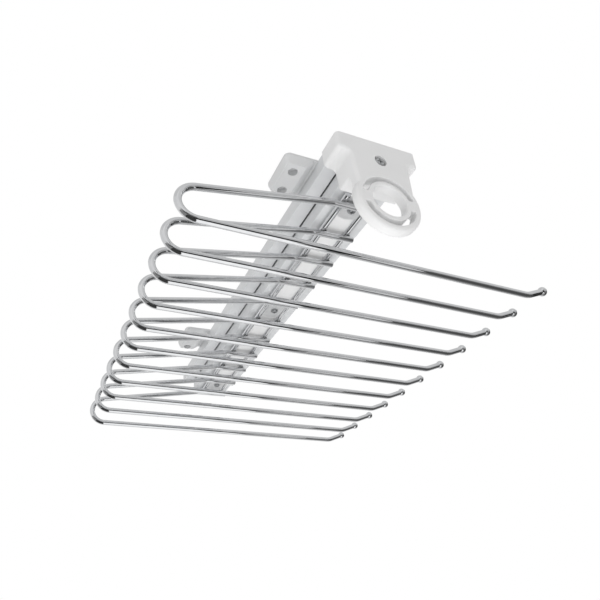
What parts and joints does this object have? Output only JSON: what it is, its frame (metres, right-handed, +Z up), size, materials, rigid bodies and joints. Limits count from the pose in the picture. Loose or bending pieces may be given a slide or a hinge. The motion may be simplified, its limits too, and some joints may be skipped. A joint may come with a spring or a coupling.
{
  "type": "pull out trouser rack",
  "caption": "Pull-out trouser rack: chromed wire hangers under a carriage on a ball slide, in a rail that screws beneath a wardrobe shelf, with a white ring-handle end cap.",
  "frame": {"origin": "on the shelf's underside, on the rail's centreline, half way along the rail", "axes": "+Z up into the shelf, +X right, seen from the front, to the hangers' open ends, +Y to the rear; the rack pulls out along -Y"},
  "size_m": [0.3585, 0.459, 0.0966],
  "materials": {
    "rail_coat": "satin light grey coat on aluminium profile",
    "white_plastic": "white moulded, semi-gloss",
    "grey_plastic": "light grey moulded, satin",
    "chrome": "bright chrome plate",
    "zinc_steel": "bright zinc plate",
    "bare_steel": "plated, dulled by welding",
    "screw_steel": "zinc plated",
    "rubber": "matt black"
  },
  "bodies": {
    "rail_fixed": {"fixed_rail": "rail_coat", "front_mounting_ear": "grey_plastic", "rear_mounting_ear": "grey_plastic", "ear_screws": "screw_steel", "rail_rear_cap": "grey_plastic", "slide_outer_member": "zinc_steel", "slide_rivets": "zinc_steel", "closing_buffer": "rubber"},
    "middle_member": {"slide_middle_member": "zinc_steel"},
    "outer_cage": {"outer_ball_cage": "zinc_steel", "outer_balls": "chrome"},
    "inner_cage": {"inner_ball_cage": "zinc_steel", "inner_balls": "chrome"},
    "carriage": {"slide_inner_member": "zinc_steel", "carriage_rivets": "zinc_steel", "carriage_profile": "rail_coat", "carriage_rear_cap": "grey_plastic", "rod_bed": "white_plastic", "left_ladder_rod": "chrome", "right_ladder_rod": "chrome", "hanger_01": "chrome", "hanger_02": "chrome", "hanger_03": "chrome", "hanger_04": "chrome", "hanger_05": "chrome", "hanger_06": "chrome", "hanger_07": "chrome", "hanger_08": "chrome", "hanger_09": "chrome", "hanger_10": "chrome", "hanger_11": "chrome", "front_screw_tab": "bare_steel", "middle_screw_tab": "bare_steel", "rear_screw_tab": "bare_steel", "ladder_screws": "screw_steel", "front_cap": "white_plastic", "front_cap_screw": "screw_steel"}
  },
  "joints": [
    {"name": "carriage_slide", "type": "slide", "parent": "rail_fixed", "child": "carriage", "axis": [0, -1, 0], "range_m": [0, 0.38]},
    {"name": "middle_member_slide", "type": "slide", "parent": "rail_fixed", "child": "middle_member", "axis": [0, -1, 0], "range_m": [0, 0.19]},
    {"name": "outer_cage_slide", "type": "slide", "parent": "rail_fixed", "child": "outer_cage", "axis": [0, -1, 0], "range_m": [0, 0.095]},
    {"name": "inner_cage_slide", "type": "slide", "parent": "rail_fixed", "child": "inner_cage", "axis": [0, -1, 0], "range_m": [0, 0.285]}
  ],
  "couplings": [
    {"joint": "middle_member_slide", "follows": "carriage_slide", "ratio": 0.5},
    {"joint": "outer_cage_slide", "follows": "carriage_slide", "ratio": 0.25},
    {"joint": "inner_cage_slide", "follows": "carriage_slide", "ratio": 0.75}
  ]
}
